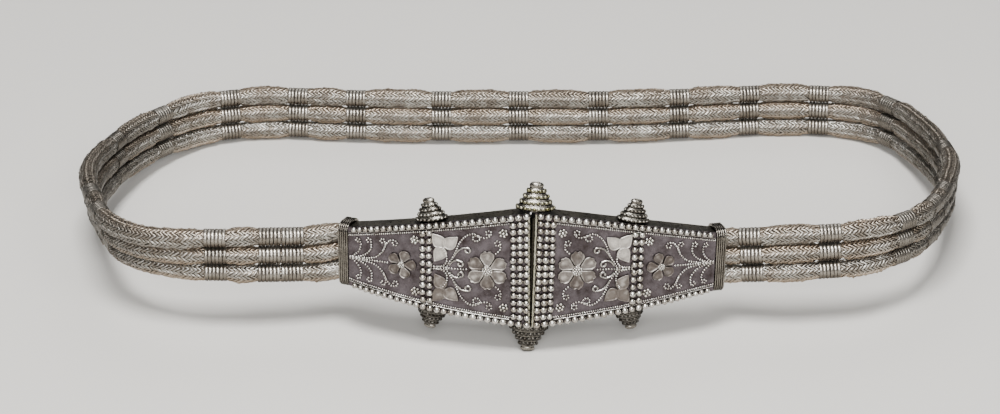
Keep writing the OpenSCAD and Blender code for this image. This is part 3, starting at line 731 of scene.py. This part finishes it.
# Each flower's grained boss: its place and radius; its grains are the brightest
bosses = [(rosette_at, 1.6), (flower_at, 1.1)]
boss_tone = -2.5
scroll_bead_d = 0.76
scroll_pitch = 0.78
# Inside each border run a beaded wire and, nearer the edge, a plain one
edge_bead_d = 0.7
edge_bead_pitch = 0.68
edge_bead_in = 2.5
edge_wire_in = 1.75
edge_lines_from = 7.0
# The height at which plain wires lie on the plate
wire_up = 0.1
curl_up = 0.2


def half_height(u):
    """A half's half height at each distance from the slot: its long edges bow a little."""
    t = u / bow_l
    return (slot_high * (1 - t) * (1 - 2 * t) + middle_high * 4 * t * (1 - t)
            + neck_high * t * (2 * t - 1))


# Silver sheet: a dark violet ground, mottled and pitted, blackest beside what is soldered on it
# from dirt and painted shade, and painted darker on its undersides as shade
ground_metal = metal_finish("silver sheet, purple-brown tarnish", "#716a6e", "#38302f", "#2f2827",
                            patch=4.5, shine=0.3, crowned=False, grain=0.6, relief=0.14,
                            dirt_and_shade_reach=0.9, underside_shade=0.4)
# Fused grains: each has a small sharp highlight on its worn crown, and brown grime at its foot;
# their undersides are painted darker as shade
grain_metal = metal_finish("fused silver grains, worn bright", "#e0ddd6", "#aea79d", "#5d534a",
                           patch=5.0, shine=0.24, underside_shade=0.4)
# Beaded wire: bright dotted lines, the whitest thing on the dark ground, with painted shade on
# their undersides
filigree_metal = metal_finish("beaded silver wire", "#e8e5df", "#b7b0a8", "#4f4645",
                              patch=4.0, shine=0.26, underside_shade=0.4)
# Round wire: a thin unbroken highlight along its top, dark where it meets the ground from dirt
# and painted shade, and painted darker underneath as shade
plain_wire = metal_finish("round silver wire, soldered flat", "#e2dfd8", "#a8a199", "#3d3534",
                          patch=4.0, shine=0.24, crowned=False, dirt_and_shade_reach=0.5)
# Rim wire: the same highlight, yellower, as on the old solder beside the slot; dark where it meets
# the ground from dirt and painted shade, and painted darker underneath as shade
rim_metal = metal_finish("silver rim wire, olive tarnish", "#cfccbc", "#98947f", "#2d2a22",
                         patch=4.0, shine=0.24, crowned=False, dirt_and_shade_reach=0.5)
# Cut sheet: satin petals, grey to warm brown from one to the next, with bright rubbed rims; darker
# beside what stands on them from dirt and painted shade, and painted darker underneath as shade
petal_metal = metal_finish("cut silver petals, rubbed", "#e2dcd4", "#7f7770", "#433a38",
                           patch=2.0, shine=0.34, metallic=0.9, dirt_and_shade_reach=0.8, underside_shade=0.3)

# Grains laid on points: each point says how large its grain is and which way it faces.
# Crown is 1 on a grain's outer side, and 0 at its foot.
granulation, given = growing_tree("granulation", {"Grain Detail": 2})
ball = add(granulation, "GeometryNodeMeshIcoSphere",
           inputs={"Radius": 0.5, "Subdivisions": given["Grain Detail"]}).outputs[0]
ball_out = add(granulation, "ShaderNodeSeparateXYZ",
               inputs={0: add(granulation, "GeometryNodeInputPosition").outputs[0]}).outputs[2]
ball_crown = add(granulation, "ShaderNodeMapRange",
                 inputs={"Value": ball_out, "From Min": -0.3, "From Max": 0.35}).outputs[0]
ball = add(granulation, "GeometryNodeStoreNamedAttribute",
           inputs={0: ball, "Name": "crown", "Value": ball_crown}).outputs[0]
facing = {}
for label in ("size", "along", "outward"):
    facing[label] = add(granulation, "GeometryNodeInputNamedAttribute",
                        {"data_type": "FLOAT_VECTOR"}, {"Name": label}).outputs[0]
turned = add(granulation, "FunctionNodeAxesToRotation",
             {"primary_axis": "Z", "secondary_axis": "X"},
             {0: facing["outward"], 1: facing["along"]}).outputs[0]
grains = add(granulation, "GeometryNodeInstanceOnPoints",
             inputs={0: given["Geometry"], "Instance": ball, "Rotation": turned,
                     "Scale": facing["size"]}).outputs[0]
finish_tree(granulation, given, grains)


def grain_mesh(name, grains_at):
    """Loose points for grains, from each one's point, size, run and facing, and tone if given."""
    mesh = bpy.data.meshes.new(name)
    mesh.from_pydata([tuple(grain[0]) for grain in grains_at], [], [])
    for k, label in enumerate(("size", "along", "outward"), 1):
        values = np.array([grain[k] for grain in grains_at], np.float32)
        column = mesh.attributes.new(label, "FLOAT_VECTOR", "POINT")
        column.data.foreach_set("vector", values.ravel())
    tones = np.array([grain[4] if len(grain) > 4 else rng.uniform(-1, 1) for grain in grains_at],
                     np.float32)
    mesh.attributes.new("tone", "FLOAT", "POINT").data.foreach_set("value", tones)
    return mesh


def flat_grain(u, up, d, height=0.25):
    """A grain on a face, sunk into its solder, with its middle at that share of its size."""
    return ((u, up, d * height), (d, d, d * rng.uniform(0.92, 1.05)), (1, 0, 0), (0, 0, 1))


def pearled(line, d, pitch):
    """Grains close together along a line on a face, as on beaded wire."""
    run = distance_along(line)
    count = max(2, round(run[-1] / pitch))
    at = np.linspace(0, run[-1], count)
    points = np.stack([np.interp(at, run, line[:, k]) for k in range(2)], 1)
    ahead = np.gradient(points, axis=0)
    return [((p[0], p[1], d * 0.3), (d * 0.9, d, d), (t[0], t[1], 0), (0, 0, 1))
            for p, t in zip(points, ahead)]


def curled(stem, eye, sweep, steps=14):
    """A stem that runs smoothly through its points and winds in round the eye of its curl."""
    end = np.array(stem[-1], float) - eye
    radius = np.hypot(*end)
    angle = math.atan2(end[1], end[0]) + np.radians(np.linspace(0, sweep, steps))
    shrink = np.linspace(1, 0.72, steps) * radius
    winding = np.stack([eye[0] + shrink * np.cos(angle), eye[1] + shrink * np.sin(angle)], 1)
    return np.concatenate([flowing([np.array(p, float) for p in stem], 8), winding[1:]])


# Upper beaded scrolls of a face, each with the eye of its curl and the degrees that it sweeps
# round it; the lower ones mirror them
scrolls = [
    ([(26.3, 0.3), (25.0, 2.4), (23.6, 4.8), (22.2, 8.4), (20.1, 11), (17.7, 11.9), (15.9, 10.9)],
     (17.0, 10.5), 330),
    ([(16.2, 11.3), (14.8, 10.7), (13.2, 11.0), (12.3, 12.1)], (13.2, 12.3), -300),
    ([(11.0, 5.6), (9.7, 7.0), (9.6, 8.6)], (10.5, 8.9), -320),
    ([(56.4, 0.5), (54.5, 2.2), (53.6, 4.2), (53.9, 6.3)], (54.6, 6.1), -260),
    ([(55.2, 0.4), (52.2, 1.6), (50.2, 3.9), (50.1, 6.3)], (50.9, 6.5), -260),
    ([(52.4, 0.4), (48.7, 1.3), (46.3, 3.6), (45.4, 6.0), (45.6, 7.0)], (46.4, 7.0), -260),
    ([(46.0, 4.2), (45.0, 6.3), (43.5, 7.7), (42.0, 7.5)], (42.4, 6.7), 250),
]
# The same for the plain wires beside the rosette
plain_curls = [
    ([(23.9, 4.0), (22.8, 5.7), (21.4, 6.9), (19.8, 7.2)], (19.6, 6.3), 320),
    ([(25.2, 1.2), (24.3, 2.3), (22.9, 2.9), (21.7, 2.6)], (21.8, 1.7), 300),
]
# Beaded stems without a curl: mirrored ones, and those along the middle of a face
beaded_stems = [
    [(27.2, 6.2), (26.2, 4.6), (26.0, 2.6), (26.9, 1.0), (28.6, 0.45), (30.9, 0.35)],
    [(30.9, 0.3), (26.0, 0.3)],
    [(57.2, 0.3), (53.0, 0.3)],
]
middle_stems = [[(26.2, 0), (20.0, 0)], [(57.2, 0), (44.8, 0)]]

# Sections of the cut pieces from the middle to the edge, as shares of the way and heights: each
# is flat in the middle, and turned up at its rim
petal_section = [(0.0, 0.38), (0.45, 0.38), (0.76, 0.38), (0.87, 0.44), (0.94, 0.62), (0.98, 0.56),
                 (1.0, 0.34), (1.0, -0.05)]
leaf_section = [(0.0, 0.42), (0.4, 0.45), (0.78, 0.42), (0.88, 0.46), (0.95, 0.6), (1.0, 0.40),
                (1.0, -0.05)]


def cut_piece(outline, section, place, tone):
    """Points, faces, crown and tone of a cut and dished piece that lies on a face."""
    middle = np.mean(outline, axis=0)
    points = [(*middle, section[0][1])]
    crown = [0.75]
    for share, height in section[1:]:
        points += [(*(middle + (p - middle) * share), height) for p in outline]
        crown += [max(0.0, min(1.0, (height - 0.3) / 0.24))] * len(outline)
    count = len(outline)
    faces = [(0, 1 + k, 1 + (k + 1) % count) for k in range(count)]
    for ring in range(len(section) - 2):
        start = 1 + ring * count
        faces += [(start + k, start + count + k, start + count + (k + 1) % count,
                   start + (k + 1) % count) for k in range(count)]
    last = 1 + (len(section) - 2) * count
    faces.append(tuple(range(last + count - 1, last - 1, -1)))
    return [tuple(place @ Vector(p)) for p in points], faces, crown, [tone] * len(points)


def petal_outline(inner, outer, half_turn, nick):
    """A petal about the flower's middle, between two radii, with nicks that deep in its end."""
    off = np.linspace(-1, 1, 23)
    reach = outer * np.cos(off * 1.33) ** 0.26
    reach -= nick * (np.exp(-(off / 0.13) ** 2) + 0.5 * np.exp(-((np.abs(off) - 0.48) / 0.1) ** 2))
    reach = np.concatenate([[inner], reach, [inner]])
    turn = np.radians(half_turn) * np.concatenate([[-0.8], off, [0.8]])
    return np.stack([reach * np.cos(turn), reach * np.sin(turn)], 1)


def leaf_outline(length, width):
    """A pointed leaf lying along x from its joint."""
    t = np.linspace(0, 1, 15)
    bulge = width / 2 * np.sin(math.pi * t ** 0.68)
    upper = np.stack([t * length, bulge], 1)
    return np.concatenate([upper, (upper * (1, -1))[-2:0:-1]])[::-1]


def joined(name, parts):
    """One mesh from several lists of points, faces and values."""
    points, faces, crown, tone = [], [], [], []
    for some_points, some_faces, some_crown, some_tone in parts:
        faces += [tuple(k + len(points) for k in face) for face in some_faces]
        points += some_points
        crown += some_crown
        tone += some_tone
    mesh = bpy.data.meshes.new(name)
    mesh.from_pydata(points, [], faces)
    for label, values in (("crown", crown), ("tone", tone)):
        column = mesh.attributes.new(label, "FLOAT", "POINT")
        column.data.foreach_set("value", np.array(values, np.float32))
    mesh.shade_smooth()
    return mesh


def settled(name, mesh, metal, place, half=None):
    """A piece from a mesh in millimetres, in its place, with its metal."""
    mesh.materials.append(metal)
    settle(mesh, place, half)
    return link(name, mesh)


def on_plate(u, up, turn):
    """Turns a piece drawn about the origin, and moves it to a point of a face."""
    return Matrix.Translation((u, up, 0)) @ Matrix.Rotation(math.radians(turn), 4, "Z")


# Petals, as inner and outer radius, half turn in degrees and nick; leaves, as length and width
rosette_petal = (1.2, 6.5, 28.6, 0.5)
flower_petal = (0.9, 4.7, 31.0, 0.12)
leaf_size = (5.8, 4.3)
leaf_turns = (50, 139, 302)
# Rings of fine grains on a boss, as share of the way down its side and number of grains
boss_rings = ((0.0, 1), (0.42, 6), (0.8, 11))
rim_wire = {"Wire Thickness": 0.9, "Wire Width": 1.0}
edge_wire = {"Wire Thickness": 0.35, "Wire Width": 0.5}
curl_wire = {"Wire Thickness": 0.62, "Wire Width": 0.7}
# A face's own frame: x along the half, y up, z out of the plate's front
face = Matrix.Rotation(math.pi / 2, 4, "X") @ Matrix.Translation((0, 0, face_front))
for half in ("left", "right"):
    near = slot_edge[half]

    # Plate
    stations = np.linspace(near, face_l, 25)
    corners = [(u, sign * half_height(u), z) for u in stations
               for sign, z in ((-1, -sheet_t), (1, -sheet_t), (1, 0), (-1, 0))]
    sheets = [(4 * n + k, 4 * n + 4 + k, 4 * n + 4 + (k + 1) % 4, 4 * n + (k + 1) % 4)
              for n in range(len(stations) - 1) for k in range(4)]
    end = len(corners)
    plate = bpy.data.meshes.new(half + "_plate")
    plate.from_pydata(corners, [], sheets + [(0, 1, 2, 3), (end - 1, end - 2, end - 3, end - 4)])
    plate_piece = settled(half + "_face_plate", plate, ground_metal, face, half)

    # Grains
    grains = []
    for side in (-1, 1):
        u = border_from
        while u < face_l - border_in + 0.1:
            fine = u / bow_l
            grains.append(flat_grain(u, side * (half_height(u) - border_in),
                                     (border_grain_d - border_grain_less * fine)
                                     * rng.uniform(0.95, 1.04)))
            u += border_pitch - border_pitch_less * fine
    for u in slot_columns + middle_columns:
        reach = half_height(u) - border_in
        rows = int(2 * reach / column_pitch)
        for k in range(1, rows):
            grains.append(flat_grain(u + rng.uniform(-0.12, 0.12),
                                     (2 * k / rows - 1) * reach + rng.uniform(-0.1, 0.1),
                                     column_grain_d * rng.uniform(0.93, 1.06)))
    for u, up in cluster_at:
        for side in (-1, 1):
            grains.append(flat_grain(u, side * up, 1.0, 0.45))
            for k in range(6):
                turn = math.radians(60 * k + 15)
                grains.append(flat_grain(u + cluster_r * math.cos(turn),
                                         side * up + cluster_r * math.sin(turn), 0.95))

    # Beaded wires, with fine grains on the bosses
    beads = []
    for side in (-1, 1):
        mirror = np.array([1, side])
        for stem, eye, sweep in scrolls:
            beads += pearled(curled(stem, eye, sweep) * mirror, scroll_bead_d, scroll_pitch)
        for stem in beaded_stems:
            smooth_stem = flowing([np.array(p, float) for p in stem], 8)
            beads += pearled(smooth_stem * mirror, scroll_bead_d, scroll_pitch)
        inner = [(u, half_height(u) - edge_bead_in)
                 for u in np.linspace(edge_lines_from, face_l - 0.4, 14)]
        beads += pearled(np.array(inner) * mirror, edge_bead_d, edge_bead_pitch)
    for stem in middle_stems:
        beads += pearled(np.array(stem, float), scroll_bead_d, scroll_pitch)
    for (u, up), boss_r in bosses:
        for ring_share, count in boss_rings:
            for k in range(count):
                turn = 2 * math.pi * k / count
                lean = ring_share * 1.2
                out = (math.sin(lean) * math.cos(turn), math.sin(lean) * math.sin(turn),
                       math.cos(lean))
                centre = (u + boss_r * out[0], up + boss_r * out[1], 0.35 + boss_r * out[2] * 0.75)
                size = boss_r * 0.46
                grains.append((centre, (size, size, size), (-math.sin(turn), math.cos(turn), 0),
                               out, boss_tone))
    grain_piece = grow(half + "_face_grains", grain_mesh("grains", grains), granulation,
                       grain_metal, face, half)
    bead_piece = grow(half + "_face_filigree", grain_mesh("beads", beads), granulation,
                      filigree_metal, face, half, **{"Grain Detail": 1})

    # Plain wires: the rim along the slot, and a line inside each border
    reach = half_height(near) - 0.3
    rim_at = near + 0.4
    rim = line_mesh("rim", [np.array([(rim_at, -reach, wire_up), (rim_at, reach, wire_up)])])
    inside = np.linspace(edge_lines_from, face_l - 0.2, 14)
    lines = [np.array([(u, side * (half_height(u) - edge_wire_in), wire_up) for u in inside])
             for side in (-1, 1)]
    curls = []
    for side in (-1, 1):
        for stem, eye, sweep in plain_curls:
            curl = curled(stem, eye, sweep) * (1, side)
            curls.append(np.column_stack([curl, np.full(len(curl), curl_up)]))
    rim_piece = grow(half + "_face_rim", rim, drawn_wire, rim_metal, face, half, **rim_wire)
    line_piece = grow(half + "_face_lines", line_mesh("lines", lines), drawn_wire, plain_wire,
                      face, half, **edge_wire)
    curl_piece = grow(half + "_face_curls", line_mesh("curls", curls), drawn_wire, plain_wire,
                      face, half, **curl_wire)

    # Petals, leaves and the domes under the grained bosses. A higher tone is duller: the upper
    # leaves are bright, and the lower leaves and the smaller flower are brown.
    cut = []
    for k in range(6):
        cut.append(cut_piece(petal_outline(*rosette_petal), petal_section,
                             on_plate(*rosette_at, 90 + 60 * k), 0.6 + rng.uniform(-0.7, 0.7)))
    for k in range(5):
        cut.append(cut_piece(petal_outline(*flower_petal), petal_section,
                             on_plate(*flower_at, 180 + 72 * k), 1.1 + rng.uniform(-0.6, 0.6)))
    for side in (-1, 1):
        for angle in leaf_turns:
            cut.append(cut_piece(leaf_outline(*leaf_size), leaf_section,
                                 on_plate(leaf_at[0], side * leaf_at[1], side * angle),
                                 rng.uniform(-1.4, -0.5) if side > 0 else rng.uniform(0.9, 1.8)))
    for (u, up), boss_r in bosses:
        dome = [(math.sin(a), 0.35 + boss_r * 0.72 * math.cos(a))
                for a in np.linspace(0, math.pi / 2, 6)]
        round_edge = np.array([(boss_r * math.cos(a), boss_r * math.sin(a))
                               for a in np.linspace(0, 2 * math.pi, 20, endpoint=False)])
        cut.append(cut_piece(round_edge, dome + [(1.0, 0.0)], on_plate(u, up, 0), 0.6))
    petal_piece = settled(half + "_face_petals", joined("petals", cut), petal_metal, face, half)

    for piece in (plate_piece, grain_piece, bead_piece, rim_piece, line_piece, curl_piece,
                  petal_piece):
        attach(piece, "root")
        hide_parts(half + "_face")

# Finials.
# Beehives of sheet silver ringed with rows of long grains and fine wire, each row smaller than
# the last, and closed by a dished button: two on each half, and one at each end of the clasp pin.

# Widths and heights of the side finials, and of those on the pin line; all have the same depth
side_finial = (10.8, 7.2)
middle_finial = (12.6, 9)
finial_deep = 6.05
# Each tier's width as a share of the finial's, the button's last
tier_shares = [1, 0.84, 0.68, 0.52, 0.36]
long_grain_l = 1.56
long_grain_pitch = 1.55
long_grain_thick = 0.96
side_finial_at = 31.3
# The gaps under the side and the middle finials
finial_fit = 0.1
finial_lift = 0.15
# The pin's radius, and its ends from the upper finial's foot
rod_size = (1.1, -40.65, 0.5)
slope_turn = math.atan((half_height(side_finial_at - 1) - half_height(side_finial_at + 1)) / 2)
# Fused long grains: grey, with small highlights in rows and black under each row: painted shade
# on the grains' undersides, with grime on their inner sides
finial_metal = metal_finish("fused silver grains, grey", "#98948b", "#59534b", "#23201c",
                            # The same below the clasp: a darker copy painted as shade, with few
                            # highlights, and with the most painted shade on the undersides
                            patch=3.0, shine=0.28, underside_shade=0.9)
# The same below the clasp, where nothing rubs them: darker, with few highlights
shaded_metal = metal_finish("fused silver grains, dark grey", "#74706a", "#3c3731", "#181614",
                            patch=3.0, shine=0.28, underside_shade=1.0)
# The same on the head of the pin, which handling has stained: a yellow-green cast; its undersides
# are painted darker as shade
stained_metal = metal_finish("fused silver grains, yellow-green tarnish", "#aca893", "#757049",
                             "#25221b", patch=3.0, shine=0.26, underside_shade=1.0)
# Raised sheet: thin grey wires and a button between the rows, and black in the grooves from dirt
# and painted shade; its undersides are painted darker as shade
core_metal = metal_finish("raised silver sheet, dark in its grooves", "#aaa59b", "#6a655d",
                          "#1f1c1a", patch=3.0, shine=0.26, crowned=False, dirt_and_shade_reach=1.2)
# The pin below its head: black and dull
rod_metal = metal_finish("silver rod, nearly black", "#14120f", "#0f0e0c", "#0b0a09",
                         metallic=0.3, shine=0.5, crowned=False)


def oval_ring(half_wide, half_deep, count, start=0.0):
    """Evenly spaced points round an oval, with its run and its facing at each."""
    fine = np.linspace(0, 2 * math.pi, 721)
    curve = np.stack([half_wide * np.cos(fine), half_deep * np.sin(fine)], 1)
    angle = np.interp((np.arange(count) + start) / count * distance_along(curve)[-1],
                      distance_along(curve), fine)
    run = np.stack([-half_wide * np.sin(angle), half_deep * np.cos(angle)], 1)
    run /= np.linalg.norm(run, axis=1)[:, None]
    return np.stack([half_wide * np.cos(angle), half_deep * np.sin(angle)], 1), run


def oval_turned(profile, depth_share, sides=40):
    """A closed shape from a profile of half widths and heights, oval across."""
    points, faces = [], []
    for half_wide, height in profile:
        angle = np.linspace(0, 2 * math.pi, sides, endpoint=False)
        points += [(half_wide * math.cos(a), depth_share * half_wide * math.sin(a), height)
                   for a in angle]
    for ring in range(len(profile) - 1):
        for k in range(sides):
            a, b = ring * sides + k, ring * sides + (k + 1) % sides
            faces.append((a, b, b + sides, a + sides))
    faces.append(tuple(range(sides - 1, -1, -1)))
    faces.append(tuple(range((len(profile) - 1) * sides, len(profile) * sides)))
    mesh = bpy.data.meshes.new("turned")
    mesh.from_pydata(points, [], faces)
    mesh.shade_smooth()
    return mesh


def beehive(name, width, height, place, metal, half=None, rod=None):
    """The pieces of a finial standing on the origin, and of the rod below it if it has one."""
    depth_share = finial_deep / width
    tier_h = height / len(tier_shares)
    # The raised sheet's outline from its foot to its button, under the rows of grains
    profile = [(width / 2 - 0.9, 0)]
    grains = []
    for tier, share in enumerate(tier_shares[:-1]):
        half_wide = width / 2 * share
        middle = (tier + 0.48) * tier_h
        deep = half_wide * depth_share
        around = np.linspace(0, 2 * math.pi, 60)
        edge = np.stack([half_wide * np.cos(around), deep * np.sin(around)], 1)
        count = max(8, round(distance_along(edge)[-1] / long_grain_pitch))
        points, run = oval_ring(half_wide - long_grain_thick / 2, deep - long_grain_thick / 2,
                                count, tier * 0.5)
        for p, t in zip(points, run):
            size = (long_grain_l * rng.uniform(0.88, 1.04), tier_h * 0.76, long_grain_thick)
            grains.append(((p[0], p[1], middle), size, (t[0], t[1], 0), (t[1], -t[0], 0.0)))
        profile += [(half_wide - 0.85, middle - tier_h * 0.4), (half_wide - 0.62, middle),
                    (half_wide - 0.75, middle + tier_h * 0.36)]
        # A fine wire between this row of grains and the next
        wire = half_wide - width * 0.08 - 0.12
        profile += [(wire - 0.1, middle + tier_h * 0.38), (wire, middle + tier_h * 0.5),
                    (wire - 0.12, middle + tier_h * 0.6)]
    button = width / 2 * tier_shares[-1]
    foot = height - tier_h
    profile += [(button * 0.72, foot), (button * 0.95, foot + tier_h * 0.2),
                (button, foot + tier_h * 0.45), (button * 0.93, foot + tier_h * 0.72),
                (button * 0.72, foot + tier_h * 0.92), (button * 0.5, height),
                (button * 0.3, height - 0.15), (0.05, height - 0.2)]
    shell = settled(name + "_shell", oval_turned(profile, depth_share), core_metal, place, half)
    rows = grow(name + "_grains", grain_mesh("grains", grains), granulation, metal, place, half)
    pieces = [shell, rows]
    if rod:
        radius, low, high = rod
        turned_rod = oval_turned([(radius - 0.15, low), (radius, low + 0.15), (radius, high)],
                                 1.0, 24)
        pieces.append(settled(name + "_rod", turned_rod, rod_metal, place))
    return pieces


finials = {}
for half in ("left", "right"):
    for end, up in (("top", 1), ("bottom", -1)):
        edge_up = up * (half_height(side_finial_at) + finial_fit)
        turn = slope_turn if up > 0 else math.pi - slope_turn
        foot = Matrix.Translation((side_finial_at, 0, edge_up)) @ Matrix.Rotation(turn, 4, "Y")
        finials["%s_%s_finial" % (half, end)] = beehive(
            "%s_%s_finial" % (half, end), *side_finial, foot,
            finial_metal if up > 0 else shaded_metal, half)
top_foot = pin_place @ Matrix.Translation((0, 0, slot_high + finial_lift))
bottom_foot = (pin_place @ Matrix.Translation((0, 0, -slot_high - finial_lift))
               @ Matrix.Rotation(math.pi, 4, "X"))
finials["clasp_pin"] = beehive("clasp_pin", *middle_finial, top_foot, stained_metal, rod=rod_size)
finials["bottom_finial"] = beehive("bottom_finial", *middle_finial, bottom_foot, shaded_metal)
for node, pieces in finials.items():
    for piece in pieces:
        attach(piece, "root")
        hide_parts(node)
